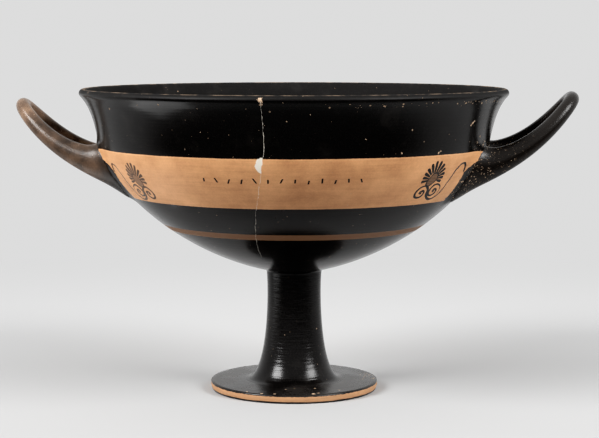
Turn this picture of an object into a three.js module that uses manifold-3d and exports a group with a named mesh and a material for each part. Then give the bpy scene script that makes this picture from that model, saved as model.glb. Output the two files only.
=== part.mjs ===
// A drinking cup on a high foot, of the kind called a kylix: a wide bowl with an offset lip, a slender
// flaring stem on a flat disc foot, and two round loop handles that sweep up beside the lip. It was thrown
// on a wheel in parts, joined while damp and fired once, so it is one solid of clay.
// Millimetres, +Z up. The origin is the middle of the ring that the foot stands on, and the handles
// point along +X and -X.

import * as THREE from 'three';
import { mergeVertices } from 'three/addons/utils/BufferGeometryUtils.js';
import Module from 'manifold-3d';

const wasm = await Module();
wasm.setup();

// Heights, stacked from the table up
const footEdgeHeight = 4.4;
const footTopRise = 0.75;
const footFilletRise = 1.3;
const stemHeight = 56.55;
const bowlHeight = 64.3;
const lipHeight = 29.4;

// Radii of the outside, from the foot up
const footContactRadius = 42.7;
const footRadius = 43.3;
const footBulge = 0.4;
const footFilletRadius = 27;
const stemFootRadius = 22;
const stemTopRadius = 14.25;
const neckFilletRadius = 16.2;
const cornerRadius = 100;
const lipRadius = 110.3;

// Shape of the outside: slopes in degrees, and how far each curve keeps to its slope
const stemFootSlope = 43.4;
const stemFootPull = 11.3;
const stemTopLean = 4.95;
const stemTopPull = 10.7;
const neckFilletHeight = 2;
const bowlFootSlope = 13.3;
const bowlFootPull = 47.5;
const bowlCornerLean = 12.1;
const bowlCornerPull = 20.1;
const lipCornerLean = 17.9;
const lipCornerPull = 4.4;
const lipUndercut = 45;
const lipUndercutPull = 9.6;
const lipBeadRadius = 2.2;
const lipInsideLean = 30;
const lipInsidePull = 6;
const insideCornerPull = 9;

// Thickness of the clay
const wallThickness = 4;
const floorThickness = 7;

// Underside of the foot: a flat standing ring, a shallow rise and a hollow that goes up the stem
const standingRingWidth = 8;
const undersideRise = 2.6;
const hollowMouthRadius = 15.5;
const hollowMouthFlare = 9;
const hollowTopRadius = 6.2;

// Handles. The reach is to the outside of the tip, and the span lies between the legs' middle lines.
const handleReach = 145.5;
const handleSpan = 50;
const handleLegRadius = 4.5;
const handleTipRadius = 3.5;
const handleSteadiness = 0.37;
const rootFlareWidth = 5.8;
const rootFlareHeight = 12;
const rootFlareLength = 13;
const rootFlareLift = 5.6;
const rootFlareDepth = 14;
const rootFlareEasing = 8;
const rootBuriedDepth = 26;

// What differs from one handle to the other, because they were rolled and bent by hand: how far the tip
// lies below the crest of the lip and the root below the corner under it, how square the loop is (2 is
// an ellipse), and half of how much its near leg lies above the far one
const handles = [
  { side: 1, tipDrop: 5, rootDrop: 15.9, squareness: 2.7, roll: -0.3 },
  { side: -1, tipDrop: 9.2, rootDrop: 16.9, squareness: 2.1, roll: 1.6 },
];

// Fineness of the faces
const turns = 64;
const handleSteps = 32;
const handleSides = 12;

const footTopHeight = footEdgeHeight + footTopRise;
const stemFootHeight = footTopHeight + footFilletRise;
const stemTopHeight = stemFootHeight + stemHeight;
const cornerHeight = stemTopHeight + bowlHeight;
const crestHeight = cornerHeight + lipHeight;
const beadCentre = new THREE.Vector2(lipRadius - lipBeadRadius, crestHeight - lipBeadRadius);

const point = (radius, height) => new THREE.Vector2(radius, height);
const radians = THREE.MathUtils.degToRad;

// The point that lies a distance away at an angle above the horizontal, measured from the outward direction.
function step(from, degrees, distance) {
  const angle = radians(degrees);
  return point(from.x + distance * Math.cos(angle), from.y + distance * Math.sin(angle));
}

// Where a line through a point, at an angle in degrees, crosses a height.
function crossing(from, degrees, height) {
  return point(from.x + (height - from.y) / Math.tan(radians(degrees)), height);
}

// Points of a curve moved to the left of its travel, which on the outside of the cup is into the clay.
function inset(curve, distance, count) {
  return Array.from({ length: count + 1 }, (_, i) => {
    const at = curve.getPoint(i / count);
    const along = curve.getTangent(i / count);
    return point(at.x - along.y * distance, at.y + along.x * distance);
  });
}

// Joins runs of points into one outline and drops a point that repeats the one before it.
function outline(...runs) {
  return runs.flat().filter((at, i, all) => i === 0 || at.distanceTo(all[i - 1]) > 1e-4);
}

// Turns an outline in radius and height around the upright axis. It starts and ends on the axis.
function turned(points) {
  return new THREE.LatheGeometry(points, turns).rotateX(Math.PI / 2);
}

// A closed tube along a middle line, with an oval section that the line gives as it goes.
function tube(line, steps, sides) {
  const positions = [];
  const faces = [];
  const up = new THREE.Vector3(0, 0, 1);
  for (let i = 0; i <= steps; i += 1) {
    const t = line.getUtoTmapping(i / steps);
    const { width, height } = line.section(t);
    const centre = line.getPoint(t);
    const across = new THREE.Vector3().crossVectors(line.getTangent(t), up).normalize();
    const over = new THREE.Vector3().crossVectors(across, line.getTangent(t));
    for (let j = 0; j < sides; j += 1) {
      const angle = (2 * Math.PI * j) / sides;
      const at = centre.clone()
        .addScaledVector(across, width * Math.cos(angle))
        .addScaledVector(over, height * Math.sin(angle));
      positions.push(at.x, at.y, at.z);
    }
  }
  for (let i = 0; i < steps; i += 1) {
    for (let j = 0; j < sides; j += 1) {
      const a = i * sides + j;
      const b = i * sides + ((j + 1) % sides);
      faces.push(a, a + sides, b, b, a + sides, b + sides);
    }
  }
  const last = steps * sides;
  for (let j = 1; j < sides - 1; j += 1) {
    faces.push(0, j, j + 1, last, last + j + 1, last + j);
  }
  const geometry = new THREE.BufferGeometry();
  geometry.setAttribute('position', new THREE.Float32BufferAttribute(positions, 3));
  return geometry.setIndex(faces);
}

// The middle line of one handle: half of a rounded loop seen from above, climbing towards its tip.
class HandleLine extends THREE.Curve {
  constructor(handle) {
    super();
    Object.assign(this, handle);
    this.start = cornerRadius - rootBuriedDepth;
    this.end = handleReach - handleTipRadius;
    this.root = cornerHeight - this.rootDrop;
    this.tip = crestHeight - this.tipDrop;
  }

  // How far out the line has come, from 0 where it starts inside the wall to 1 at the tip.
  outward(t) {
    return Math.sin(Math.PI * t) ** (2 / this.squareness);
  }

  distance(t) {
    return this.start + (this.end - this.start) * this.outward(t);
  }

  // How much of the root's spread is left, from 1 inside the bowl to almost 0 along the loop.
  spread(t) {
    const past = this.distance(t) - (cornerRadius - rootFlareDepth);
    const eased = (past + Math.hypot(past, rootFlareEasing)) / 2;
    return Math.exp(-eased / rootFlareLength);
  }

  getPoint(t) {
    const turn = Math.cos(Math.PI * t);
    const share = Math.sign(turn) * Math.abs(turn) ** (2 / this.squareness);
    const out = this.outward(t);
    const climb = handleSteadiness * out + (1 - handleSteadiness) * out ** 3;
    const level = this.root + (this.tip - this.root) * climb;
    const height = level + this.roll * share + rootFlareLift * this.spread(t);
    return new THREE.Vector3(this.side * this.distance(t), -share * handleSpan / 2, height);
  }

  // Half the width and height of the section, thickest where it spreads onto the bowl.
  section(t) {
    const radius = handleLegRadius + (handleTipRadius - handleLegRadius) * this.outward(t) ** 2;
    return {
      width: radius + rootFlareWidth * this.spread(t),
      height: radius + rootFlareHeight * this.spread(t),
    };
  }
}

function solid(geometry) {
  const bare = geometry.clone();
  bare.deleteAttribute('normal');
  bare.deleteAttribute('uv');
  const merged = mergeVertices(bare);
  return new wasm.Manifold(new wasm.Mesh({
    numProp: 3,
    vertProperties: merged.attributes.position.array,
    triVerts: new Uint32Array(merged.index.array),
  }));
}

function geometryOf(manifold) {
  const { vertProperties, triVerts } = manifold.getMesh();
  const geometry = new THREE.BufferGeometry();
  geometry.setAttribute('position', new THREE.Float32BufferAttribute(vertProperties, 3));
  geometry.setIndex(new THREE.Uint32BufferAttribute(triVerts, 1));
  return geometry;
}

// Outside, from the standing ring up to the bead of the lip
const footContact = point(footContactRadius, 0);
const footTop = point(footRadius, footEdgeHeight);
const footEdge = new THREE.QuadraticBezierCurve(
  footContact,
  point((footContactRadius + footRadius) / 2 + 2 * footBulge, footEdgeHeight / 2),
  footTop,
);
const footFilletStart = point(footFilletRadius, footTopHeight);
const stemFoot = point(stemFootRadius, stemFootHeight);
const footFillet = new THREE.QuadraticBezierCurve(
  footFilletStart,
  crossing(stemFoot, 180 - stemFootSlope, footTopHeight),
  stemFoot,
);
const stemTop = point(stemTopRadius, stemTopHeight - neckFilletHeight);
const stem = new THREE.CubicBezierCurve(
  stemFoot,
  step(stemFoot, 180 - stemFootSlope, stemFootPull),
  step(stemTop, -90 - stemTopLean, stemTopPull),
  stemTop,
);
const bowlFoot = point(neckFilletRadius, stemTopHeight);
const neckFillet = new THREE.QuadraticBezierCurve(
  stemTop,
  step(bowlFoot, 180 + bowlFootSlope, neckFilletRadius - stemTopRadius),
  bowlFoot,
);
const corner = point(cornerRadius, cornerHeight);
const bowl = new THREE.CubicBezierCurve(
  bowlFoot,
  step(bowlFoot, bowlFootSlope, bowlFootPull),
  step(corner, -90 - bowlCornerLean, bowlCornerPull),
  corner,
);
const undercut = step(beadCentre, -lipUndercut, lipBeadRadius);
const lip = new THREE.CubicBezierCurve(
  corner,
  step(corner, 90 - lipCornerLean, lipCornerPull),
  step(undercut, -90 - lipUndercut, lipUndercutPull),
  undercut,
);
const bead = new THREE.EllipseCurve(
  beadCentre.x, beadCentre.y, lipBeadRadius, lipBeadRadius,
  radians(-lipUndercut), radians(180 - lipInsideLean), false,
);

// Inside of the bowl: the outside moved in by the wall, closed by a gently dished floor
const bowlInside = inset(bowl, wallThickness, 9).reverse();
const beadEnd = step(beadCentre, 180 - lipInsideLean, lipBeadRadius);
const lipInside = new THREE.CubicBezierCurve(
  beadEnd,
  step(beadEnd, -90 - lipInsideLean, lipInsidePull),
  step(bowlInside[0], 90 - lipCornerLean, insideCornerPull),
  bowlInside[0],
);
const floorEdge = bowlInside[bowlInside.length - 1];
const floorHeight = floorEdge.y - (floorEdge.x / 2) * Math.tan(radians(bowlFootSlope));
const floor = new THREE.QuadraticBezierCurve(
  floorEdge,
  point(floorEdge.x / 2, floorHeight),
  point(0, floorHeight),
);

// Hollow under the stem and the underside of the foot
const ringInside = point(footContactRadius - standingRingWidth, 0);
const hollowMouth = point(hollowMouthRadius, undersideRise);
const hollowTop = floorHeight - floorThickness;
const hollowShoulder = point(hollowTopRadius, hollowTop - hollowTopRadius);
const dome = new THREE.EllipseCurve(
  0, hollowShoulder.y, hollowTopRadius, hollowTopRadius, radians(90), 0, true,
);
const hollow = new THREE.QuadraticBezierCurve(
  hollowShoulder,
  point(hollowTopRadius, undersideRise + hollowMouthFlare),
  hollowMouth,
);
const underside = new THREE.QuadraticBezierCurve(
  hollowMouth,
  point((hollowMouthRadius + ringInside.x) / 2, undersideRise),
  ringInside,
);

const body = solid(turned(outline(
  [point(0, hollowTop)],
  dome.getPoints(3),
  hollow.getPoints(4),
  underside.getPoints(2),
  footEdge.getPoints(3),
  footFillet.getPoints(3),
  stem.getPoints(6),
  neckFillet.getPoints(2),
  bowl.getPoints(10),
  lip.getPoints(5),
  bead.getPoints(6),
  lipInside.getPoints(4),
  bowlInside,
  floor.getPoints(2),
)));

// The handles' roots end half-way through the wall of the bowl
const core = solid(turned(outline(
  [point(0, stemTopHeight)],
  inset(bowl, wallThickness / 2, 14),
  inset(lip, wallThickness / 2, 7),
  [point(0, crestHeight)],
)));
const loops = handles.map((handle) => (
  solid(tube(new HandleLine(handle), handleSteps, handleSides)).subtract(core)
));

const glazedClay = new THREE.MeshStandardMaterial({ color: 0x14110f, roughness: 0.28, metalness: 0 });
const cup = new THREE.Mesh(geometryOf(loops.reduce((whole, loop) => whole.add(loop), body)), glazedClay);
cup.name = 'cup';

const kylix = new THREE.Group();
kylix.add(cup);

export default kylix;
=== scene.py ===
"""A painted drinking cup on a high foot, with its worn black gloss, in a pale studio.

Shapes are worked out in millimetres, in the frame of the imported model, and become metres when the
mesh is made. Heights are above the table. Turns around the cup are in degrees from the front.
"""

import math

import bpy
import numpy as np
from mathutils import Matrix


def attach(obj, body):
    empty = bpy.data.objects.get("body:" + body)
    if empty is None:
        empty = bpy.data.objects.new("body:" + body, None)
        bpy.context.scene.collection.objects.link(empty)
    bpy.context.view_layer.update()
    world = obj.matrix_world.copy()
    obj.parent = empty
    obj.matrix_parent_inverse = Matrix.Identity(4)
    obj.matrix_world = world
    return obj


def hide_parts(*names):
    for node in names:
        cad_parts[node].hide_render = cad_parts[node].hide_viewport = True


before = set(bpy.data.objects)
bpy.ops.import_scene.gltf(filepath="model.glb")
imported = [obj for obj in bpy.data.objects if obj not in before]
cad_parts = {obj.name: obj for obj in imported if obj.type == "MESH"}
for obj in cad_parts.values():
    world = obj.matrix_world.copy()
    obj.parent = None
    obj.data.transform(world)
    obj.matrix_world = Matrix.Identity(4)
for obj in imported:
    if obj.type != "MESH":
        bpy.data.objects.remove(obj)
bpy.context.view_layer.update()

MILLIMETRE = 0.001

# Colours of the clay, the black gloss, and what fills the chips and the crack
CLAY_LIGHT = (0.76, 0.43, 0.23, 1)
CLAY_DARK = (0.5, 0.26, 0.13, 1)
GLOSS = (0.008, 0.0072, 0.007, 1)
GLOSS_THIN = (0.022, 0.019, 0.017, 1)
GLOSS_WORN = (0.3, 0.2, 0.14, 1)
GLOSS_DUSTY = (0.035, 0.032, 0.03, 1)
# Clay of the thin line below the band, darkened as painted shade on the downward-facing underside
CLAY_LINE_SHADE = (0.24, 0.13, 0.07, 1)
# Darker clay below the foot's top
CLAY_BELOW_FOOT_TOP = (0.3, 0.19, 0.12, 1)
CHIP_COLOUR = (0.55, 0.4, 0.28, 1)
PLASTER = (0.86, 0.8, 0.71, 1)
GLOSS_LEVEL = 0.35

# The room: how bright the camera sees it, how bright it is as light, and how much more behind the cup
ROOM_SEEN = 0.72
ROOM_LIGHT = 0.75
ROOM_MORE_BEHIND = 0.1

# The paper under the cup, in metres, with what it gives as light from beyond its end in front
PAPER = (0.48, 0.48, 0.48, 1)
PAPER_FAR = (0, 0, 0, 1)
PAPER_SHADED = (0.25, 0.25, 0.25, 1)
PAPER_HALF = 2.5
PAPER_FADES_BY = 0.55
PAPER_ENDS = -0.12
PAPER_END_SOFTNESS = 0.09

# The lights: turns and heights in degrees, places and sizes in metres
LIGHT_TURN = 60
LIGHT_HEIGHT = 33
LIGHT_SOFTNESS = 28
LEFT_LIGHT_POWER = 3.3
RIGHT_LIGHT_POWER = 2.5
LOW_LIGHT_POWER = 0.07
LOW_LIGHT_SIZE = 0.12
LOW_LIGHT_PLACE = (-0.19, -0.05, 0.004)

# The print's tones: levels of light, and what the print shows of them
FILM_CURVE = ((0.02, 0.003), (0.05, 0.02), (0.15, 0.1), (0.35, 0.31), (0.7, 0.7))

# Heights, stacked from the table up
FOOT_EDGE_HEIGHT = 4.4
FOOT_TOP = FOOT_EDGE_HEIGHT + 0.75
STEM_FOOT = FOOT_TOP + 1.3
STEM_TOP = STEM_FOOT + 56.55
CORNER = STEM_TOP + 64.3
CREST = CORNER + 29.4

# Radii of the outside and thickness of the clay
CONTACT_RADIUS = 42.7
FOOT_RADIUS = 43.3
FOOT_BULGE = 0.4
FILLET_RADIUS = 27
STEM_FOOT_RADIUS = 22
STEM_TOP_RADIUS = 14.25
NECK_RADIUS = 16.2
NECK_HEIGHT = 2
CORNER_RADIUS = 100
LIP_RADIUS = 110.3
BEAD_RADIUS = 2.2
WALL = 4
FLOOR_THICKNESS = 7
STANDING_RING = 8
UNDERSIDE_RISE = 2.6
HOLLOW_MOUTH = 15.5
HOLLOW_FLARE = 9
HOLLOW_TOP = 6.2

# Bends of the outside: slopes and leans in degrees, and how far each curve keeps to its slope
BOWL_FOOT_SLOPE = 13.3
BOWL_FOOT_PULL = 47.5
BOWL_CORNER_LEAN = 12.1
BOWL_CORNER_PULL = 20.1
LIP_CORNER_LEAN = 17.9
LIP_CORNER_PULL = 4.4
LIP_UNDERCUT = 45
LIP_UNDERCUT_PULL = 9.6
LIP_INSIDE_LEAN = 30
LIP_INSIDE_PULL = 6
INSIDE_CORNER_PULL = 9
STEM_TOP_LEAN = 4.95
STEM_TOP_PULL = 10.7
STEM_FOOT_SLOPE = 43.4
STEM_FOOT_PULL = 11.3

# Handles: reach to the outside of the tip, span between the legs' middle lines
HANDLE_REACH = 145.5
HANDLE_SPAN = 50
LEG_RADIUS = 4.5
TIP_RADIUS = 3.5
STEADINESS = 0.37
FLARE_WIDTH = 5.8
FLARE_HEIGHT = 12
FLARE_LENGTH = 13
FLARE_LIFT = 5.6
FLARE_DEPTH = 14
FLARE_EASING = 8
BURIED_DEPTH = 26
JOIN_SOFTNESS = 7
JOINED_SLANTS = (-29, 80)
JOINED_FROM = 60
JOINED_HALF_WIDTH = 55
HANDLE_SLANT = -10
HANDLES = {
    "right": {"side": 1, "tip_drop": 5, "root_drop": 15.9, "squareness": 2.7, "roll": -0.3},
    "left": {"side": -1, "tip_drop": 9.2, "root_drop": 16.9, "squareness": 2.1, "roll": 1.6},
}

# Fineness of the surfaces
TURNS = 340
TURN_CROWDING = 0.25
HANDLE_STEPS = 120
HANDLE_SIDES = 36

# Camera, from the photograph
CAMERA_DISTANCE = 895.1
CAMERA_HEIGHT = CREST + 28
CAMERA_TURN = 5
CAMERA_YAW = 0.18
CAMERA_PITCH = 6.12
CAMERA_LENS = 104
SENSOR_WIDTH = 36


def step(start, degrees, distance):
    """The point a distance away, at an angle above the outward direction."""
    angle = math.radians(degrees)
    return (start[0] + distance * math.cos(angle), start[1] + distance * math.sin(angle))


def bend(points, count):
    """Bezier curve through its end points: Bernstein weights of t times the control points."""
    t = np.linspace(0, 1, count)[:, None]
    order = len(points) - 1
    return sum(math.comb(order, i) * t ** i * (1 - t) ** (order - i) * np.array(point, float)
               for i, point in enumerate(points))


def arc(centre, radius, start, end, count):
    """Circle arc: centre plus radius times the cosine and sine of the angle."""
    angle = np.radians(np.linspace(start, end, count))
    return np.stack([centre[0] + radius * np.cos(angle), centre[1] + radius * np.sin(angle)], axis=1)


def inset(line, distance):
    """The line moved to the left of its travel by a distance, along its normals."""
    along = np.gradient(line, axis=0)
    along /= np.linalg.norm(along, axis=1, keepdims=True)
    return line + distance * np.stack([-along[:, 1], along[:, 0]], axis=1)


def cup_outline():
    """Radius and height from the floor of the bowl over the lip and down to the hollow of the foot.

    Each run is a curve or an arc between two corners, and its last value is its count of points.
    """
    neck_start = (STEM_TOP_RADIUS, STEM_TOP - NECK_HEIGHT)
    bowl_foot = (NECK_RADIUS, STEM_TOP)
    corner = (CORNER_RADIUS, CORNER)
    stem_foot = (STEM_FOOT_RADIUS, STEM_FOOT)
    bead_centre = (LIP_RADIUS - BEAD_RADIUS, CREST - BEAD_RADIUS)
    undercut = step(bead_centre, -LIP_UNDERCUT, BEAD_RADIUS)
    bead_end = step(bead_centre, 180 - LIP_INSIDE_LEAN, BEAD_RADIUS)

    bowl = bend([bowl_foot, step(bowl_foot, BOWL_FOOT_SLOPE, BOWL_FOOT_PULL),
                 step(corner, -90 - BOWL_CORNER_LEAN, BOWL_CORNER_PULL), corner], 52)
    inside = inset(bowl, WALL)
    floor_height = inside[0, 1] - inside[0, 0] / 2 * math.tan(math.radians(BOWL_FOOT_SLOPE))
    floor = bend([(0, floor_height), (inside[0, 0] / 2, floor_height), tuple(inside[0])], 8)
    lip_inside = bend([inside[-1], step(inside[-1], 90 - LIP_CORNER_LEAN, INSIDE_CORNER_PULL),
                       step(bead_end, -90 - LIP_INSIDE_LEAN, LIP_INSIDE_PULL), bead_end], 18)
    bead = arc(bead_centre, BEAD_RADIUS, 180 - LIP_INSIDE_LEAN, -LIP_UNDERCUT, 14)
    lip = bend([undercut, step(undercut, -90 - LIP_UNDERCUT, LIP_UNDERCUT_PULL),
                step(corner, 90 - LIP_CORNER_LEAN, LIP_CORNER_PULL), corner], 24)
    neck_bend = step(bowl_foot, 180 + BOWL_FOOT_SLOPE, NECK_RADIUS - STEM_TOP_RADIUS)
    neck = bend([bowl_foot, neck_bend, neck_start], 7)
    stem = bend([neck_start, step(neck_start, -90 - STEM_TOP_LEAN, STEM_TOP_PULL),
                 step(stem_foot, 180 - STEM_FOOT_SLOPE, STEM_FOOT_PULL), stem_foot], 30)
    fillet_turn = STEM_FOOT_RADIUS + (STEM_FOOT - FOOT_TOP) / math.tan(math.radians(STEM_FOOT_SLOPE))
    fillet = bend([stem_foot, (fillet_turn, FOOT_TOP), (FILLET_RADIUS, FOOT_TOP)], 8)
    foot_top = bend([(FILLET_RADIUS, FOOT_TOP), (FOOT_RADIUS, FOOT_EDGE_HEIGHT)], 12)
    edge_bend = ((CONTACT_RADIUS + FOOT_RADIUS) / 2 + 2 * FOOT_BULGE, FOOT_EDGE_HEIGHT / 2)
    edge = bend([(FOOT_RADIUS, FOOT_EDGE_HEIGHT), edge_bend, (CONTACT_RADIUS, 0)], 8)
    ring_inside = (CONTACT_RADIUS - STANDING_RING, 0)
    mouth = (HOLLOW_MOUTH, UNDERSIDE_RISE)
    ring = bend([(CONTACT_RADIUS, 0), ring_inside], 4)
    underside = bend([ring_inside, ((HOLLOW_MOUTH + ring_inside[0]) / 2, UNDERSIDE_RISE), mouth], 10)
    dome_centre = (0, floor_height - FLOOR_THICKNESS - HOLLOW_TOP)
    shoulder = (HOLLOW_TOP, dome_centre[1])
    hollow = bend([mouth, (HOLLOW_TOP, UNDERSIDE_RISE + HOLLOW_FLARE), shoulder], 16)
    dome = arc(dome_centre, HOLLOW_TOP, 0, 90, 8)
    runs = [floor, inside, lip_inside, bead, lip, bowl[::-1], neck, stem, fillet, foot_top, edge, ring,
            underside, hollow, dome]
    line = np.concatenate(runs)
    keep = np.r_[True, np.linalg.norm(np.diff(line, axis=0), axis=1) > 1e-3]
    return line[keep]


def grid_faces(rows, columns, start=0):
    """Squares between neighbouring rows and columns, joined where the last column meets the first."""
    row, column = np.meshgrid(np.arange(rows - 1), np.arange(columns), indexing="ij")
    after = (column + 1) % columns
    corners = [row * columns + column, (row + 1) * columns + column,
               (row + 1) * columns + after, row * columns + after]
    return start + np.stack(corners, axis=-1).reshape(-1, 4)


def cap_faces(ring, tip):
    """Triangles from a ring of points to its tip."""
    return np.stack([ring, np.roll(ring, -1), np.full(len(ring), tip)], axis=1)


class HandleLine:
    """The middle line of one handle: half of a rounded loop seen from above, climbing to its tip."""

    def __init__(self, side, tip_drop, root_drop, squareness, roll):
        self.side = side
        self.power = 2 / squareness
        self.roll = roll
        self.start = CORNER_RADIUS - BURIED_DEPTH
        self.end = HANDLE_REACH - TIP_RADIUS
        self.root = CORNER - root_drop
        self.tip = CREST - tip_drop

    def outward(self, t):
        """Sine of the half turn, raised to the loop's power: 0 at the roots and 1 at the tip."""
        return np.sin(np.pi * t) ** self.power

    def share(self, t):
        """Cosine of the half turn, raised to the loop's power with its sign kept."""
        turn = np.cos(np.pi * t)
        return np.sign(turn) * np.abs(turn) ** self.power

    def spread(self, t):
        """Exponential fall of the root's flare with the eased distance from the wall."""
        past = self.start + (self.end - self.start) * self.outward(t) - (CORNER_RADIUS - FLARE_DEPTH)
        return np.exp(-(past + np.hypot(past, FLARE_EASING)) / 2 / FLARE_LENGTH)

    def middle(self, t):
        """Distance out, half the span times the share, and a climb of steady and cubed parts."""
        out = self.outward(t)
        climb = STEADINESS * out + (1 - STEADINESS) * out ** 3
        height = (self.root + (self.tip - self.root) * climb + self.roll * self.share(t)
                  + FLARE_LIFT * self.spread(t))
        reach = self.side * (self.start + (self.end - self.start) * out)
        return np.stack([reach, -self.share(t) * HANDLE_SPAN / 2, height], axis=1)

    def section(self, t):
        """Half width and half height: the tapering radius plus the flare of the root."""
        radius = LEG_RADIUS + (TIP_RADIUS - LEG_RADIUS) * self.outward(t) ** 2
        return radius + FLARE_WIDTH * self.spread(t), radius + FLARE_HEIGHT * self.spread(t)

    def rings(self, count):
        """Places along the line at even lengths, with the two directions of each section."""
        fine = np.linspace(0, 1, 4001)[1:-1]
        length = np.r_[0, np.cumsum(np.linalg.norm(np.diff(self.middle(fine), axis=0), axis=1))]
        t = np.interp(np.linspace(0, length[-1], count), length, fine)
        middle = self.middle(t)
        along = np.gradient(middle, axis=0)
        along /= np.linalg.norm(along, axis=1, keepdims=True)
        across = np.cross(along, [0, 0, 1])
        across /= np.linalg.norm(across, axis=1, keepdims=True)
        return t, middle, across, np.cross(across, along)


def handle_surface(line):
    """Ovals around the middle line: centre + width cos(a) across + height sin(a) over."""
    t, middle, across, over = line.rings(HANDLE_STEPS)
    width, height = line.section(t)
    angle = np.linspace(0, 2 * np.pi, HANDLE_SIDES, endpoint=False)
    return (middle[:, None] + (width[:, None] * np.cos(angle))[..., None] * across[:, None]
            + (height[:, None] * np.sin(angle))[..., None] * over[:, None])


def wall_gap(points, line):
    """Signed distance from points to the outside of the wall, with the wall's own direction there."""
    flat = np.stack([np.hypot(points[:, 0], points[:, 1]), points[:, 2]], axis=1)
    start, along = line[:-1], np.diff(line, axis=0)
    share = ((flat[:, None] - start) * along).sum(-1) / (along ** 2).sum(-1)
    foot = start + np.clip(share, 0, 1)[..., None] * along
    gap = np.linalg.norm(flat[:, None] - foot, axis=-1)
    nearest = gap.argmin(axis=1)
    pick = np.arange(len(flat))
    direction = along[nearest] / np.linalg.norm(along[nearest], axis=1, keepdims=True)
    normal = np.stack([-direction[:, 1], direction[:, 0]], axis=1)
    signed = ((flat - foot[pick, nearest]) * normal).sum(-1)
    turn = points[:, :2] / np.maximum(flat[:, :1], 1e-6)
    return signed, np.concatenate([normal[:, :1] * turn, normal[:, 1:]], axis=1)


def nearest_gap(points, others):
    """Distance from each point to the nearest of the others, from squared lengths and dot products."""
    square = (points ** 2).sum(1)[:, None] + (others ** 2).sum(1) - 2 * points @ others.T
    return np.sqrt(np.maximum(square.min(axis=1), 0))


def fillet(gap):
    """How far clay is smeared up beside a join: a quarter of the softness, falling off squared."""
    return JOIN_SOFTNESS / 4 * np.clip(1 - np.abs(gap) / JOIN_SOFTNESS, 0, 1) ** 2


def make_mesh(name, points, faces, attributes):
    """A smooth mesh in metres from points in millimetres, with one number per point and attribute."""
    mesh = bpy.data.meshes.new(name)
    mesh.from_pydata(points * MILLIMETRE, [], [tuple(face) for face in faces])
    for label, values in attributes.items():
        layer = mesh.attributes.new(label, "FLOAT", "POINT")
        layer.data.foreach_set("value", np.asarray(values, np.float32))
    mesh.shade_smooth()
    mesh.update()
    piece = bpy.data.objects.new(name, mesh)
    bpy.context.scene.collection.objects.link(piece)
    return piece


def turned_body(outline):
    """The outline's inner points carried around the axis, with the turns packed closer by the handles."""
    even = np.linspace(0, 2 * np.pi, TURNS, endpoint=False)
    turn = even - TURN_CROWDING * np.sin(2 * even)
    radius, height = outline[1:-1, 0, None], outline[1:-1, 1, None]
    rings = np.stack([radius * np.cos(turn), radius * np.sin(turn), height + 0 * turn], axis=-1)
    return rings.reshape(-1, 3)


def smeared_handle(line, wall):
    """A handle's surface, swollen beside its join and pressed flat in the middle of the wall's clay."""
    surface = handle_surface(line)
    outward = surface - surface.mean(axis=1, keepdims=True)
    outward = (outward / np.linalg.norm(outward, axis=-1, keepdims=True)).reshape(-1, 3)
    surface = surface.reshape(-1, 3)
    gap, _ = wall_gap(surface, wall)
    smear = fillet(gap) * np.clip(1 + gap / 2, 0, 1)
    emerged = surface[gap > 0]
    surface = surface + smear[:, None] * outward
    gap, normal = wall_gap(surface, wall)
    return surface - np.minimum(gap + WALL / 2, 0)[:, None] * normal, emerged


def build_cup():
    """The wheel-thrown body as a turned outline, with the two handles smeared onto its wall.

    The mesh carries the slant, which is the way down the outside from the corner under the lip and
    below zero above it and inside, and a mark for what is handle.
    """
    outline = cup_outline()
    length = np.r_[0, np.cumsum(np.linalg.norm(np.diff(outline, axis=0), axis=1))]
    corner = np.linalg.norm(outline - [CORNER_RADIUS, CORNER], axis=1).argmin()
    slant = length - length[corner]
    outer = (slant > JOINED_SLANTS[0]) & (slant < JOINED_SLANTS[1])
    wall = outline[outer]
    body = turned_body(outline)
    body_slant = np.repeat(slant[1:-1], TURNS)
    rows = len(outline) - 2
    tip = 1 + rows * TURNS
    ring = 1 + np.arange(TURNS)
    faces = [*grid_faces(rows, TURNS, 1), *cap_faces(ring[::-1], 0),
             *cap_faces(ring + (rows - 1) * TURNS, tip)]

    handles = []
    for handle in HANDLES.values():
        surface, emerged = smeared_handle(HandleLine(**handle), wall)
        beside = (np.repeat(outer[1:-1], TURNS) & (handle["side"] * body[:, 0] > JOINED_FROM)
                  & (np.abs(body[:, 1]) < JOINED_HALF_WIDTH))
        _, normal = wall_gap(body[beside], wall)
        smear = fillet(nearest_gap(body[beside], emerged))
        body[beside] += smear[:, None] * normal
        faces += [*grid_faces(HANDLE_STEPS, HANDLE_SIDES, tip + 1 + len(handles) * len(surface))]
        handles.append(surface)

    handles = np.concatenate(handles)
    points = np.concatenate([[[0, 0, outline[0, 1]]], body, [[0, 0, outline[-1, 1]]], handles])
    slants = np.r_[slant[0], body_slant, slant[-1], np.full(len(handles), HANDLE_SLANT)]
    on_handle = np.r_[np.zeros(tip + 1), np.ones(len(handles))]
    return make_mesh("painted_cup", points, faces, {"slant": slants, "handle": on_handle})


cup = build_cup()

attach(cup, "root")
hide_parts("cup")


# Painting: slants are millimetres down the wall from the corner under the lip, turns are in degrees
BAND_FROM, BAND_TO = 0.3, 29.6
LINE_FROM, LINE_TO = 50.7, 55.8
BRUSH_EDGE = 0.15
ROOT_TURN = 23.8
ROOT_TUCK = 8
PANEL_HALF_WIDTH = 11
FOOT_RESERVE = 3.6
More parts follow.
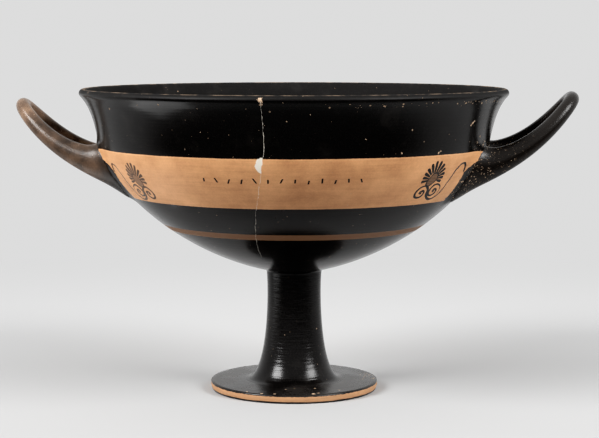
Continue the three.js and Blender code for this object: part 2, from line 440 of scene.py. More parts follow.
# Heights of the black band at the bottom of the foot's edge: a painted contact shadow
FOOT_CONTACT_SHADOW = (0.8, 1.1)
TONDO_RADIUS = 11
TONDO_RING = (5.5, 6.3)
TONDO_DOT = 1.6
PALMETTE_TURN = 40.4
PALMETTE_DOWN = 13.1
PALMETTE_SINK_LEFT = 1.8
PALMETTE_THIN_LEFT = 0.15
LEAF_COUNT = 12
LEAF_FIRST, LEAF_LAST = -12, 195
LEAF_BREAK = -89
LEAF_REACH, LEAF_REACH_TOP = 7.5, 10
LEAF_HALF_WIDTH = 0.88
LEAF_EDGE = 0.12
CORE_HALF = (3, 3.8)
CORE_SINK = 0.5
CORE_LEAN = 0.3
CORE_INK = 0.72
VOLUTES = ((3.3, -8.6, 4.7), (-5.6, -7.9, 4.5))
VOLUTE_START = 116
VOLUTE_PITCH = 3.05
VOLUTE_HALF_WIDTH = 0.62
VOLUTE_END = 0.75
TENDRIL = ((1.5, -4.4), (-0.7, -6.6), (-1.4, -9.4), (-3.4, -12), (-6.5, -13.5), (-9.6, -12.6), (-12, -10),
           (-13.4, -6), (-14.7, -1), (-16.8, 4.1), (-19.5, 6.8), (-22.6, 7.4), (-25, 5.9), (-25.8, 3))
TENDRIL_HALF_WIDTH = 0.48
TENDRIL_END = -23.5
STROKE_COUNT = 13
STROKE_FIRST, STROKE_STEP = -21.3, 3.8
STROKE_PITCH = 6.3
STROKE_HEIGHT = 116.3
STROKE_HALF_WIDTH = 0.4
STROKE_HALF_TALL = 0.8

# Wear: each chip has a turn, a height or a distance from the middle, and a size
CRACK_TURN = -3
CRACK_BENDS_BELOW = 130.7
CRACK_ENDS = 73
FILL_TURN, FILL_HEIGHT = -3.6, 124
FILL_HALF = (3.3, 3.8)
CHIPS = ((-3, 154.6, 1.3), (-2.9, 152.6, 0.8), (61.9, 141.6, 0.8), (62.6, 142.6, 0.5), (61.2, 140.6, 0.5),
         (69.4, 134.1, 0.6), (48.5, 128.2, 0.6), (49.2, 129.2, 0.5), (35.2, 129.1, 0.4), (53.8, 151.9, 0.7),
         (-30.7, 151.6, 0.5), (-12, 138, 0.3), (9, 148, 0.3), (24, 136, 0.3), (67.8, 112.2, 0.8),
         (68.2, 109.1, 0.7), (64, 114, 0.4), (-52, 148.5, 0.4))
FOOT_CHIPS = ((-18, 41.6, 0.7), (-9, 40.5, 0.6), (-30, 41.5, 0.4), (19, 40.7, 1), (23, 39.6, 0.7),
              (26, 30, 0.6), (-3, 31, 0.5), (5, 29, 0.5), (42, 38, 0.4))
BEAD_SLANTS = (-27.4, -25)
BEAD_WORN_TURNS = (14, 86)
SCUFF_RADII = (36, 42)
SCUFF_TURNS = (91, 117)
DUSTY_RADII = (24, 45)
DUSTY_BELOW = 7


def chain(points, each):
    """Catmull-Rom curve through points: cubic between neighbours, with half their spread as slopes."""
    knots = np.array(points, float)
    ends = np.concatenate([[2 * knots[0] - knots[1]], knots, [2 * knots[-1] - knots[-2]]])
    slope = (ends[2:] - ends[:-2]) / 2
    t = np.linspace(0, 1, each, endpoint=False)[:, None]
    pieces = [(1 + 2 * t) * (1 - t) ** 2 * knots[i] + t * (1 - t) ** 2 * slope[i]
              + t * t * (3 - 2 * t) * knots[i + 1] + t * t * (t - 1) * slope[i + 1]
              for i in range(len(knots) - 1)]
    return np.concatenate([*pieces, knots[-1:]])


def wall_point(turn, height):
    """The point of the outside at a turn from the front and a height, in millimetres."""
    outline = cup_outline()
    outer = outline[outline[:, 1].argmax():]
    outer = outer[outer[:, 1] > STEM_FOOT][::-1]
    radius = np.interp(height, outer[:, 1], outer[:, 0])
    angle = math.radians(turn)
    return (radius * math.sin(angle), -radius * math.cos(angle), height)


class ShaderSheet:
    """Places nodes in one tree. A value given to a socket is a plain number or another node's socket."""

    def __init__(self, tree):
        self.tree = tree

    def join(self, value, socket):
        """Link a socket to a socket, or set a plain value on it."""
        if isinstance(value, bpy.types.NodeSocket):
            self.tree.links.new(value, socket)
        else:
            socket.default_value = value

    def node(self, kind, values=(), **settings):
        """A node with its settings, and with values for its inputs by order, or by name or number."""
        made = self.tree.nodes.new(kind)
        for name, setting in settings.items():
            setattr(made, name, setting)
        named = values.items() if isinstance(values, dict) else enumerate(values)
        for key, value in named:
            self.join(value, made.inputs[key])
        return made

    def maths(self, operation, *values):
        """One operation on plain values."""
        return self.node("ShaderNodeMath", values, operation=operation).outputs[0]

    def fold(self, operation, values):
        """One operation carried through all the values from the first to the last."""
        total = values[0]
        for value in values[1:]:
            total = self.maths(operation, total, value)
        return total

    def add(self, *values):
        """The sum of the values."""
        return self.fold("ADD", values)

    def less(self, first, second):
        """The first value less the second."""
        return self.maths("SUBTRACT", first, second)

    def times(self, *values):
        """The product of the values."""
        return self.fold("MULTIPLY", values)

    def over(self, value, divisor):
        """The value divided by another."""
        return self.maths("DIVIDE", value, divisor)

    def most(self, *values):
        """The largest of the values."""
        return self.fold("MAXIMUM", values)

    def size(self, value):
        """The value without its sign."""
        return self.maths("ABSOLUTE", value)

    def angle(self, up, along):
        """The angle in degrees whose tangent is up over along."""
        return self.maths("DEGREES", self.maths("ARCTAN2", up, along))

    def vector(self, operation, *values):
        """One operation on vectors, which gives a number for lengths, distances and dot products."""
        made = self.node("ShaderNodeVectorMath", values, operation=operation)
        plain = operation in ("LENGTH", "DISTANCE", "DOT_PRODUCT")
        return made.outputs["Value" if plain else "Vector"]

    def length(self, x, y):
        """The length of a flat vector."""
        return self.vector("LENGTH", self.place(x, y))

    def scaled(self, vector, share):
        """The vector times a number."""
        return self.node("ShaderNodeVectorMath", {0: vector, "Scale": share}, operation="SCALE").outputs[0]

    def place(self, x=0.0, y=0.0, z=0.0):
        """A vector from its three parts."""
        return self.node("ShaderNodeCombineXYZ", (x, y, z)).outputs[0]

    def parts(self, vector):
        """The three parts of a vector."""
        return self.node("ShaderNodeSeparateXYZ", (vector,)).outputs

    def rise(self, value, low, high):
        """Smooth rise from 0 to 1 between two limits."""
        values = {"Value": value, "From Min": low, "From Max": high}
        return self.node("ShaderNodeMapRange", values, interpolation_type="SMOOTHSTEP").outputs["Result"]

    def under(self, value, limit, soft):
        """1 where a value lies under a limit, with an edge of a given softness."""
        return self.less(1.0, self.rise(self.less(value, limit), -soft, soft))

    def between(self, value, low, high, soft):
        """1 between two limits, with edges of a given softness."""
        return self.times(self.rise(value, low - soft, low + soft), self.under(value, high, soft))

    def noise(self, place, scale, detail=3.0, rough=0.5):
        """Noise about a half, with so many waves to a millimetre."""
        values = {"Vector": place, "Scale": scale, "Detail": detail, "Roughness": rough}
        return self.node("ShaderNodeTexNoise", values).outputs["Fac"]

    def swing(self, place, scale, detail=3.0, rough=0.5):
        """Noise about nought."""
        return self.less(self.noise(place, scale, detail, rough), 0.5)

    def mix(self, share, first, second):
        """A colour a share of the way from the first to the second."""
        values = {0: share, 6: first, 7: second}
        return self.node("ShaderNodeMix", values, data_type="RGBA").outputs[2]

    def group(self, tree, values):
        """The output of a node group with the values given to its named inputs."""
        return self.node("ShaderNodeGroup", values, node_tree=tree).outputs[0]


class CupSheet(ShaderSheet):
    """The sheet of the cup's own material, with the places and turns that its masks share."""

    def __init__(self, tree):
        super().__init__(tree)
        self.spot = self.scaled(self.node("ShaderNodeTexCoord").outputs["Object"], 1 / MILLIMETRE)
        self.slant = self.node("ShaderNodeAttribute", attribute_name="slant").outputs["Fac"]
        self.handle = self.node("ShaderNodeAttribute", attribute_name="handle").outputs["Fac"]
        self.body = self.less(1.0, self.handle)
        self.x, self.y, self.z = self.parts(self.spot)
        self.left = self.under(self.x, 0.0, 0.01)
        self.right = self.less(1.0, self.left)
        self.radius = self.length(self.x, self.y)
        self.front_turn = self.angle(self.x, self.less(0.0, self.y))
        self.side_turn = self.angle(self.size(self.y), self.size(self.x))
        self.wander = self.swing(self.spot, 0.06, 2.0)
        self.shake = self.swing(self.spot, 0.7, 2.0)
        self.grain = self.swing(self.spot, 1.2, 4.0, 0.7)
        wheel_place = self.place(self.times(self.slant, 0.7), self.times(self.front_turn, 0.05))
        self.streaks = self.noise(wheel_place, 1.0, 4.0, 0.6)

    def around(self, turn, start):
        """Millimetres around the cup from one turn to another: the angle times the radius."""
        return self.times(self.maths("RADIANS", self.less(turn, start)), self.radius)


def new_group(name, inputs, output):
    """An empty node group with named inputs and one output, its sheet and its input sockets."""
    tree = bpy.data.node_groups.new(name, "ShaderNodeTree")
    for label, kind in inputs.items():
        tree.interface.new_socket(label, in_out="INPUT", socket_type="NodeSocket" + kind)
    tree.interface.new_socket(output, in_out="OUTPUT", socket_type="NodeSocketFloat")
    sheet = ShaderSheet(tree)
    start = sheet.node("NodeGroupInput")
    end = sheet.node("NodeGroupOutput")
    return tree, sheet, start.outputs, end.inputs[0]


def palmette_leaves(sheet, x, y):
    """A fan of leaves by a polar repeat: each is as wide as its reach, and ends round at its tip."""
    reach = sheet.length(x, y)
    from_break = sheet.maths("WRAP", sheet.angle(y, x), LEAF_BREAK + 360, LEAF_BREAK)
    gap = (LEAF_LAST - LEAF_FIRST) / (LEAF_COUNT - 1)
    leaf = sheet.over(sheet.less(from_break, LEAF_FIRST), gap)
    number = sheet.maths("ROUND", leaf)
    off = sheet.maths("RADIANS", sheet.times(sheet.less(leaf, number), gap))
    along = sheet.times(reach, sheet.maths("COSINE", off))
    aside = sheet.times(reach, sheet.maths("SINE", off))
    upward = sheet.maths("SINE", sheet.maths("RADIANS", sheet.add(sheet.times(number, gap), LEAF_FIRST)))
    taller = sheet.times(sheet.maths("POWER", sheet.most(upward, 0.0), 2.0), LEAF_REACH_TOP - LEAF_REACH)
    past = sheet.most(sheet.less(along, sheet.add(taller, LEAF_REACH - LEAF_HALF_WIDTH)), 0.0)
    width = sheet.times(sheet.rise(along, -1.5, 8.0), LEAF_HALF_WIDTH)
    leaves = sheet.under(sheet.length(aside, past), width, LEAF_EDGE)
    row = sheet.between(number, -0.5, LEAF_COUNT - 0.5, 0.01)
    return sheet.times(leaves, row, sheet.rise(reach, 3.2, 3.4))


def palmette_core(sheet, x, y):
    """A leaning oval, filled thinly, with a darker rim."""
    lean = sheet.add(x, sheet.times(y, CORE_LEAN))
    core = sheet.length(sheet.over(lean, CORE_HALF[0]), sheet.over(sheet.add(y, CORE_SINK), CORE_HALF[1]))
    rim = sheet.between(core, 0.86, 1.12, 0.05)
    return sheet.most(rim, sheet.times(sheet.under(core, 1.0, 0.04), CORE_INK))


def volute(sheet, x, y, start_reach):
    """A spiral around a dot: the reach shrinks by one pitch with each turn."""
    reach = sheet.length(x, y)
    turns = sheet.add(sheet.over(sheet.less(reach, start_reach), VOLUTE_PITCH),
                      sheet.over(sheet.less(VOLUTE_START, sheet.angle(y, x)), 360.0))
    apart = sheet.times(sheet.size(sheet.less(turns, sheet.maths("ROUND", turns))), VOLUTE_PITCH)
    coil = sheet.under(apart, VOLUTE_HALF_WIDTH, LEAF_EDGE)
    inside = sheet.times(sheet.under(reach, start_reach + 0.3, 0.1), sheet.rise(reach, 0.7, 0.9))
    return sheet.most(sheet.times(coil, inside), sheet.under(reach, VOLUTE_END, LEAF_EDGE))


def tendril(sheet, spot, x):
    """A line along the chain of points: the least distance to its short straight runs."""
    path = chain(TENDRIL, 2)
    nearest = None
    for start, end in zip(path[:-1], path[1:]):
        run = end - start
        away = sheet.vector("SUBTRACT", spot, (*start, 0))
        share = sheet.vector("DOT_PRODUCT", away, (*(run / (run @ run)), 0))
        tip_wear_and_highlight = sheet.node("ShaderNodeClamp", (share, 0.0, 1.0)).outputs[0]
        distance = sheet.vector("DISTANCE", away, sheet.scaled((*run, 0), tip_wear_and_highlight))
        nearest = distance if nearest is None else sheet.maths("MINIMUM", nearest, distance)
    swell = sheet.add(sheet.times(sheet.rise(x, -10.0, -4.0), 0.22),
                      sheet.times(sheet.under(x, TENDRIL_END, 1.0), 0.4), TENDRIL_HALF_WIDTH)
    return sheet.under(nearest, swell, 0.1)


def palmette_group():
    """One painted palmette around its core: leaves, two spirals and a long tendril."""
    tree, sheet, given, result = new_group("painted palmette", {"Place": "Vector"}, "Paint")
    x, y, _ = sheet.parts(given["Place"])
    volutes = [volute(sheet, sheet.less(x, centre_x), sheet.less(y, centre_y), start_reach)
               for centre_x, centre_y, start_reach in VOLUTES]
    paint = sheet.most(palmette_leaves(sheet, x, y), palmette_core(sheet, x, y), *volutes,
                       tendril(sheet, given["Place"], x))
    sheet.join(paint, result)
    return tree


def stroke_group():
    """A row of short painted ticks: one to each step along, with a tilt and a length of its own."""
    tree, sheet, given, result = new_group("row of ticks", {"Along": "Float", "Up": "Float"}, "Paint")
    step_number = sheet.maths("ROUND", given["Along"])
    across = sheet.times(sheet.less(given["Along"], step_number), STROKE_PITCH)
    chance = sheet.node("ShaderNodeTexWhiteNoise", {"W": step_number}, noise_dimensions="1D")
    tilt, length, shift = sheet.node("ShaderNodeSeparateColor", (chance.outputs["Color"],)).outputs
    up = sheet.add(given["Up"], sheet.times(sheet.less(shift, 0.5), 0.9))
    bent = sheet.less(across, sheet.times(sheet.less(tilt, 0.5), up, 1.3))
    tick = sheet.under(sheet.size(bent), STROKE_HALF_WIDTH, 0.12)
    tall = sheet.under(sheet.size(up), sheet.add(sheet.times(length, 0.5), STROKE_HALF_TALL), 0.15)
    row = sheet.between(step_number, -0.5, STROKE_COUNT - 0.5, 0.01)
    sheet.join(sheet.times(tick, tall, row), result)
    return tree


def speck_group():
    """Scattered small chips: the ragged cores of the cells of a fine pattern, for a share of the cells."""
    inputs = {"Place": "Vector", "Spacing": "Float", "Amount": "Float", "Core": "Float"}
    tree, sheet, given, result = new_group("scattered chips", inputs, "Chips")
    values = {"Vector": given["Place"], "Scale": sheet.over(1.0, given["Spacing"])}
    cells = sheet.node("ShaderNodeTexVoronoi", values)
    chance, size, _ = sheet.node("ShaderNodeSeparateColor", (cells.outputs["Color"],)).outputs
    allowed = sheet.under(chance, given["Amount"], 0.01)
    ragged = sheet.times(sheet.noise(given["Place"], 2.5, 2.0), 0.12)
    reach = sheet.add(cells.outputs["Distance"], ragged)
    core = sheet.under(reach, sheet.add(sheet.times(size, 0.12), given["Core"]), 0.03)
    sheet.join(sheet.times(allowed, core), result)
    return tree


def reserved_band(sheet, drawn):
    """The band between its slants. It ends beside a handle's root and goes on between its legs."""
    band = sheet.between(drawn, BAND_FROM, BAND_TO, BRUSH_EDGE)
    tuck = sheet.times(sheet.under(sheet.slant, 6.0, 6.0), ROOT_TUCK)
    free_hand = sheet.add(sheet.times(sheet.wander, 3.0), sheet.times(sheet.shake, 2.0))
    root_edge = sheet.add(sheet.side_turn, tuck, free_hand)
    beside = sheet.rise(root_edge, ROOT_TURN - BRUSH_EDGE, ROOT_TURN + BRUSH_EDGE)
    panel = sheet.under(sheet.size(sheet.y), PANEL_HALF_WIDTH, 0.3)
    return sheet.times(band, sheet.most(beside, panel))


def reserved_foot(sheet):
    """The edge of the foot, above a thin black band at its bottom that is a painted shadow where it meets the
    table.
    """
    under_top = sheet.under(sheet.add(sheet.z, sheet.times(sheet.shake, 0.8)), FOOT_RESERVE, 0.1)
    # Black gloss below this height is a painted shadow where the foot meets the table
    above_contact_shadow = sheet.rise(sheet.add(sheet.z, sheet.times(sheet.wander, 0.8)), *FOOT_CONTACT_SHADOW)
    return sheet.times(under_top, above_contact_shadow)


def reserved_tondo(sheet):
    """A disc on the floor of the bowl, with a black ring and a black dot."""
    within = sheet.times(sheet.rise(sheet.z, STEM_TOP, STEM_TOP + 1), sheet.under(sheet.slant, -60.0, 5.0))
    ring = sheet.between(sheet.radius, *TONDO_RING, BRUSH_EDGE)
    black = sheet.most(sheet.under(sheet.radius, TONDO_DOT, BRUSH_EDGE), ring)
    return sheet.times(sheet.under(sheet.radius, TONDO_RADIUS, BRUSH_EDGE), sheet.less(1.0, black), within)


def painted_ornament(sheet):
    """Palmettes beside the handles, drawn once and folded onto the four places, and the row of ticks."""
    petal_x = sheet.around(sheet.side_turn, PALMETTE_TURN)
    petal_y = sheet.less(sheet.add(PALMETTE_DOWN, sheet.times(sheet.left, PALMETTE_SINK_LEFT)), sheet.slant)
    free_hand = sheet.times(sheet.swing(sheet.spot, 0.35, 1.0), 0.8)
    petal = sheet.place(sheet.add(petal_x, free_hand), sheet.add(petal_y, free_hand))
    palmette = sheet.times(sheet.group(palmette_group(), {"Place": petal}),
                           sheet.less(1.0, sheet.times(sheet.left, PALMETTE_THIN_LEFT)))
    along = sheet.over(sheet.less(sheet.front_turn, STROKE_FIRST), STROKE_STEP)
    up = sheet.add(sheet.less(sheet.z, STROKE_HEIGHT), sheet.times(sheet.front_turn, 0.01))
    return sheet.most(palmette, sheet.group(stroke_group(), {"Along": along, "Up": up}))


def crack_and_fill(sheet):
    """The crack, straight down the lip and then bending away to the left, and its oval of plaster."""
    below = sheet.most(sheet.less(CRACK_BENDS_BELOW, sheet.z), 0.0)
    bent = sheet.times(below, sheet.add(sheet.times(below, 0.0024), 0.075))
    path = sheet.less(sheet.add(CRACK_TURN, sheet.times(sheet.swing(sheet.spot, 0.25), 0.9)), bent)
    off_crack = sheet.around(sheet.front_turn, path)
    half_width = sheet.add(sheet.times(sheet.noise(sheet.spot, 0.5), 0.5), -0.19)
    crack = sheet.times(sheet.under(sheet.size(off_crack), half_width, 0.05), 0.8)
    crack = sheet.times(crack, sheet.rise(sheet.z, CRACK_ENDS, CRACK_ENDS + 6))
    oval = sheet.length(sheet.over(sheet.around(sheet.front_turn, FILL_TURN), FILL_HALF[0]),
                        sheet.over(sheet.less(sheet.z, FILL_HEIGHT), FILL_HALF[1]))
    oval = sheet.under(sheet.add(oval, sheet.times(sheet.shake, 0.4)), 1.0, 0.04)
    beside = sheet.times(sheet.under(off_crack, 0.0, 0.1), sheet.rise(sheet.slant, -1.0, 0.0))
    return crack, sheet.times(oval, beside)


def placed_chips(sheet):
    """Chips at their places on the wall and on the foot: torn distances to their middles."""
    tear = sheet.swing(sheet.spot, 1.1, 2.0)
    shift = sheet.place(sheet.times(tear, 2.6), 0.0, sheet.times(sheet.shake, -2.2))
    torn = sheet.vector("ADD", sheet.spot, shift)
    wall = [sheet.under(sheet.vector("DISTANCE", torn, wall_point(turn, height)), size, 0.1)
            for turn, height, size in CHIPS]
    torn_foot = sheet.place(sheet.add(sheet.x, sheet.times(tear, 2.0)),
                            sheet.add(sheet.y, sheet.times(sheet.shake, 2.0)))
    foot = []
    for turn, out, size in FOOT_CHIPS:
        angle = math.radians(turn)
        middle = (out * math.sin(angle), -out * math.cos(angle), 0)
        foot.append(sheet.under(sheet.vector("DISTANCE", torn_foot, middle), size, 0.1))
    return sheet.most(*wall, sheet.times(sheet.most(*foot), sheet.under(sheet.z, 8.0, 0.1)))


def scattered_wear(sheet):
    """Specks on the bead, at the handles' roots, on the foot's scuffed place and thinly everywhere."""
    tree = speck_group()

    def specks(place, spacing, amount, core):
        return sheet.group(tree, {"Place": place, "Spacing": spacing, "Amount": amount, "Core": core})

    bead = sheet.between(sheet.slant, *BEAD_SLANTS, 0.3)
    worn_bead = sheet.times(sheet.between(sheet.front_turn, *BEAD_WORN_TURNS, 8.0), 0.8)
    scuffed = sheet.times(sheet.between(sheet.radius, *SCUFF_RADII, 1.5),
                          sheet.between(sheet.front_turn, *SCUFF_TURNS, 4.0), sheet.under(sheet.z, 6.0, 0.2))
    edge_amount = sheet.add(sheet.times(bead, sheet.add(worn_bead, 0.03)), sheet.times(scuffed, 0.6))

    on_wall = sheet.times(sheet.under(sheet.side_turn, 24.0, 3.0), sheet.rise(sheet.x, 60.0, 80.0),
                          sheet.under(sheet.slant, 26.0, 3.0), sheet.rise(sheet.slant, -9.0, -1.0), 0.7)
    near_root = sheet.times(sheet.handle, sheet.under(sheet.radius, 114.0, 14.0))
    right_root = sheet.times(near_root, sheet.right)
    worn_places = sheet.most(right_root, sheet.rise(on_wall, 0.2, 0.4), scuffed)
    flaked = sheet.times(sheet.rise(sheet.noise(sheet.spot, 0.75, 5.0, 0.7), 0.6, 0.64), worn_places)
    root_amount = sheet.most(on_wall, sheet.times(right_root, 0.6), sheet.times(near_root, sheet.left, 0.15))
    clustered = sheet.rise(sheet.noise(sheet.spot, 0.16, 2.0), 0.42, 0.58)
    root_amount = sheet.times(root_amount, clustered, 0.75)
    dragged = sheet.place(sheet.times(sheet.add(sheet.x, sheet.z), 0.33), sheet.y,
                          sheet.times(sheet.less(sheet.z, sheet.x), 0.8))
    calm_stem = sheet.less(1.0, sheet.times(sheet.under(sheet.z, STEM_TOP, 1.0), 0.75))
    return sheet.most(flaked,
                      specks(sheet.spot, 1.8, edge_amount, 0.24),
                      specks(dragged, 1.3, root_amount, 0.15),
                      specks(sheet.spot, 1.9, sheet.times(calm_stem, 0.0045), 0.15),
                      specks(sheet.spot, 0.9, sheet.times(calm_stem, 0.008), 0.2))


def clay_colour(sheet, line):
    """Bare clay: clouded, streaked by the wheel and grained, with a painted highlight under the lip, painted
    shade in the thin line, and darker below the foot's top.
    """
    cloud = sheet.add(sheet.times(sheet.swing(sheet.spot, 0.07, 5.0, 0.6), 2.4), 0.5)
    tone = sheet.add(sheet.times(cloud, 0.75), sheet.times(sheet.streaks, 0.8),
                     sheet.times(sheet.grain, 0.8), -0.22)
    # A strip of paler clay along the corner under the lip: a painted highlight
    corner_highlight = sheet.times(sheet.between(sheet.slant, 0.2, 0.9, 0.25),
                         sheet.add(sheet.times(sheet.streaks, 0.5), 0.2))
    clay = sheet.mix(sheet.add(tone, corner_highlight), CLAY_DARK, CLAY_LIGHT)
    # Clay darker and mottled below the foot's top
    below_foot_top = sheet.times(sheet.under(sheet.z, FOOT_TOP, 0.1), sheet.add(sheet.times(sheet.streaks, 0.8), 0.2))
    # The thin line's clay is darkened as painted shade
    return sheet.mix(below_foot_top, sheet.mix(line, clay, CLAY_LINE_SHADE), CLAY_BELOW_FOOT_TOP)


def foot_dust(sheet):
    """Dust that has settled in patches on the foot's top."""
    settled = sheet.add(sheet.times(sheet.rise(sheet.noise(sheet.spot, 0.06, 4.0), 0.4, 0.6), 0.75), 0.25)
    return sheet.times(sheet.between(sheet.radius, *DUSTY_RADII, 4.0),
                       sheet.under(sheet.z, DUSTY_BELOW, 2.0), settled)


def gloss_colour(sheet, dusty):
    """Black gloss, thin on the handles and worn brown on the left one, lighter at its tip as wear and a
    painted highlight, with dust and dull patches.
    """
    brushed = sheet.add(sheet.times(sheet.noise(sheet.spot, 0.14, 4.0), 1.1), sheet.times(sheet.grain, 0.5),
                        -0.16)
    # The left handle's tip is lighter: wear, and partly a painted highlight
    tip_wear_and_highlight = sheet.times(sheet.rise(sheet.radius, 128.0, 145.0), 0.3)
    worn = sheet.times(sheet.left, sheet.rise(sheet.radius, 92.0, 108.0), sheet.add(brushed, tip_wear_and_highlight))
    gloss = sheet.mix(sheet.handle, GLOSS, sheet.mix(worn, GLOSS_THIN, GLOSS_WORN))
    dust = sheet.times(sheet.rise(sheet.noise(sheet.spot, 1.4, 5.0, 0.75), 0.48, 0.78), 0.55)
    patches = sheet.rise(sheet.noise(sheet.spot, 0.05, 5.0, 0.65), 0.5, 0.75)
    return sheet.mix(sheet.most(dusty, dust, sheet.times(patches, sheet.body, 0.6)), gloss, GLOSS_DUSTY)


def glazed_clay():
    """Orange clay under black gloss: the painting, the wear and the crack are masks over each other."""
    material = bpy.data.materials.new("glazed clay")
    material.use_nodes = True
    tree = material.node_tree
    tree.nodes.clear()
    sheet = CupSheet(tree)

    drawn = sheet.add(sheet.slant, sheet.times(sheet.wander, 0.5), sheet.times(sheet.shake, 0.25))
    band = reserved_band(sheet, drawn)
    line = sheet.between(drawn, LINE_FROM, LINE_TO, BRUSH_EDGE)
    reserved = sheet.times(sheet.most(band, line, reserved_foot(sheet), reserved_tondo(sheet)), sheet.body)
    painted = sheet.times(band, painted_ornament(sheet))
    ink = sheet.less(1.0, sheet.times(reserved, sheet.less(1.0, painted)))

    crack, fill = crack_and_fill(sheet)
    chipped = sheet.most(placed_chips(sheet), scattered_wear(sheet))
    crest = sheet.times(sheet.rise(sheet.z, CREST - 0.35, CREST - 0.05),
                        sheet.rise(sheet.noise(sheet.spot, 0.2, 5.0, 0.6), 0.4, 0.65))
    worn = sheet.most(chipped, sheet.times(crest, sheet.body, 0.4))

    dusty = foot_dust(sheet)
    colour = sheet.mix(ink, clay_colour(sheet, line), gloss_colour(sheet, dusty))
    colour = sheet.mix(worn, colour, CHIP_COLOUR)
    colour = sheet.mix(sheet.most(crack, fill), colour, PLASTER)

    bare = sheet.most(sheet.less(1.0, ink), worn, crack, fill)
    around_wheel = sheet.times(sheet.front_turn, 0.02)
    smear = sheet.noise(sheet.place(sheet.times(sheet.slant, 0.9), around_wheel, sheet.handle), 1.0, 4.0)
    dull_inside = sheet.times(sheet.under(sheet.slant, -30.0, 1.5), sheet.rise(sheet.z, 90.0, 100.0))
    roughness = sheet.add(sheet.times(bare, 0.3), sheet.times(dusty, 0.1), sheet.times(dull_inside, 0.62),
                          sheet.times(sheet.handle, 0.05), sheet.times(smear, 0.08), 0.15)
    wheel = sheet.times(sheet.under(sheet.z, STEM_TOP, 1.0), sheet.less(1.0, dusty), 0.22)
    pressed = sheet.times(sheet.handle, sheet.grain, 0.16)
    raised = sheet.add(sheet.times(smear, sheet.add(wheel, 0.07)), pressed)
    sunk = sheet.add(sheet.times(worn, 0.25), sheet.times(crack, 0.2))
    bump = sheet.node("ShaderNodeBump", {
        "Strength": 0.6, "Distance": MILLIMETRE, "Height": sheet.less(raised, sunk)})
    shader = sheet.node("ShaderNodeBsdfPrincipled", {
        "Base Color": colour, "Roughness": roughness, "Normal": bump.outputs["Normal"]})
    shader.inputs["Specular IOR Level"].default_value = GLOSS_LEVEL
    end = sheet.node("ShaderNodeOutputMaterial")
    tree.links.new(shader.outputs[0], end.inputs["Surface"])
    return material


cup.data.materials.append(glazed_clay())


def paper():
    """Pale paper that fades into the room far from the cup. Its light on the cup ends in front of it."""
    material = bpy.data.materials.new("pale paper")
    material.use_nodes = True
    tree = material.node_tree
    sheet = ShaderSheet(tree)
    spot = sheet.node("ShaderNodeTexCoord").outputs["Object"]
    unseen = sheet.less(1.0, sheet.node("ShaderNodeLightPath").outputs["Is Camera Ray"])
    ended = sheet.times(unseen, sheet.under(sheet.parts(spot)[1], PAPER_ENDS, PAPER_END_SOFTNESS))
    far = sheet.rise(sheet.vector("LENGTH", spot), 0.0, PAPER_FADES_BY)
    shader = tree.nodes["Principled BSDF"]
    near_paper = sheet.mix(ended, PAPER, PAPER_SHADED)
    sheet.join(sheet.mix(far, near_paper, PAPER_FAR), shader.inputs["Base Color"])
    shader.inputs["Emission Color"].default_value = (1, 1, 1, 1)
    sheet.join(sheet.times(far, sheet.less(1.0, ended), ROOM_SEEN), shader.inputs["Emission Strength"])
    shader.inputs["Roughness"].default_value = 0.9
    shader.inputs["Specular IOR Level"].default_value = 0.0
    return material


def floor():
    """A flat floor that is larger than any view of the cup takes in."""
    corners = [(side * PAPER_HALF, end * PAPER_HALF, 0) for side, end in ((-1, -1), (1, -1), (1, 1), (-1, 1))]
    mesh = bpy.data.meshes.new("floor")
    mesh.from_pydata(corners, [], [(0, 1, 2, 3)])
    mesh.materials.append(paper())
    ground = bpy.data.objects.new("floor", mesh)
    bpy.context.scene.collection.objects.link(ground)


def soft_light(name, turn, power):
    """A broad light far off, at a turn from the camera's side."""
    data = bpy.data.lights.new(name, "SUN")
    data.energy = power
    data.angle = math.radians(LIGHT_SOFTNESS)
    lamp = bpy.data.objects.new(name, data)
    lamp.rotation_euler = (math.radians(90 - LIGHT_HEIGHT), 0, math.radians(CAMERA_TURN + turn))
    bpy.context.scene.collection.objects.link(lamp)


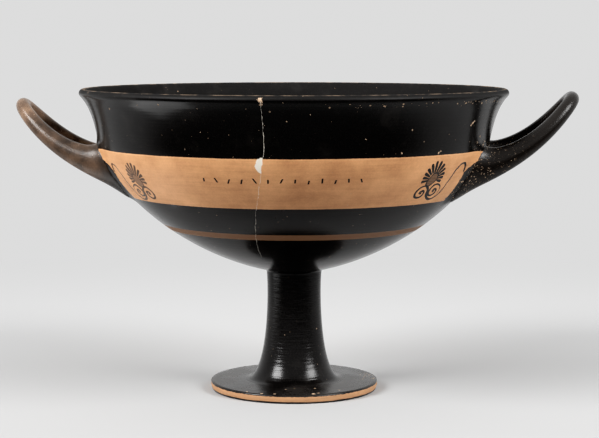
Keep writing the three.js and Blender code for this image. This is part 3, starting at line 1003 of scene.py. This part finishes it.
def low_light():
    """A weak light near the floor on the left, facing up, which the camera doesn't see."""
    data = bpy.data.lights.new("low light", "AREA")
    data.energy = LOW_LIGHT_POWER
    data.size = LOW_LIGHT_SIZE
    lamp = bpy.data.objects.new("low light", data)
    lamp.location = LOW_LIGHT_PLACE
    lamp.rotation_euler = (math.pi, 0, 0)
    lamp.visible_camera = False
    bpy.context.scene.collection.objects.link(lamp)


def pale_room():
    """Pale wherever the camera looks. As light on the cup it is a little brighter, most of all behind."""
    world = bpy.data.worlds.new("room")
    world.use_nodes = True
    tree = world.node_tree
    sheet = ShaderSheet(tree)
    behind = sheet.parts(sheet.node("ShaderNodeTexCoord").outputs["Generated"])[1]
    light = sheet.add(sheet.times(sheet.rise(behind, -0.1, 0.8), ROOM_MORE_BEHIND), ROOM_LIGHT)
    seen = sheet.node("ShaderNodeLightPath").outputs["Is Camera Ray"]
    level = sheet.add(sheet.times(seen, ROOM_SEEN), sheet.times(sheet.less(1.0, seen), light))
    sheet.join(level, tree.nodes["Background"].inputs["Color"])
    bpy.context.scene.world = world


def film_tones():
    """The photograph's tones: its print lets the darkest greys fall to black."""
    settings = bpy.context.scene.view_settings
    settings.view_transform = "Standard"
    settings.use_curve_mapping = True
    for level, shown in FILM_CURVE:
        settings.curve_mapping.curves[3].points.new(level, shown)
    settings.curve_mapping.update()


floor()
soft_light("left light", -LIGHT_TURN, LEFT_LIGHT_POWER)
soft_light("right light", LIGHT_TURN, RIGHT_LIGHT_POWER)
low_light()
pale_room()
film_tones()

camera_data = bpy.data.cameras.new("camera")
camera_data.lens = CAMERA_LENS
camera_data.sensor_width = SENSOR_WIDTH
camera = bpy.data.objects.new("camera", camera_data)
bpy.context.scene.collection.objects.link(camera)
camera.location = (
    CAMERA_DISTANCE * math.sin(math.radians(CAMERA_TURN)) * MILLIMETRE,
    -CAMERA_DISTANCE * math.cos(math.radians(CAMERA_TURN)) * MILLIMETRE,
    CAMERA_HEIGHT * MILLIMETRE,
)
camera.rotation_euler = (math.radians(90 - CAMERA_PITCH), 0, math.radians(CAMERA_TURN - CAMERA_YAW))
bpy.context.scene.camera = camera
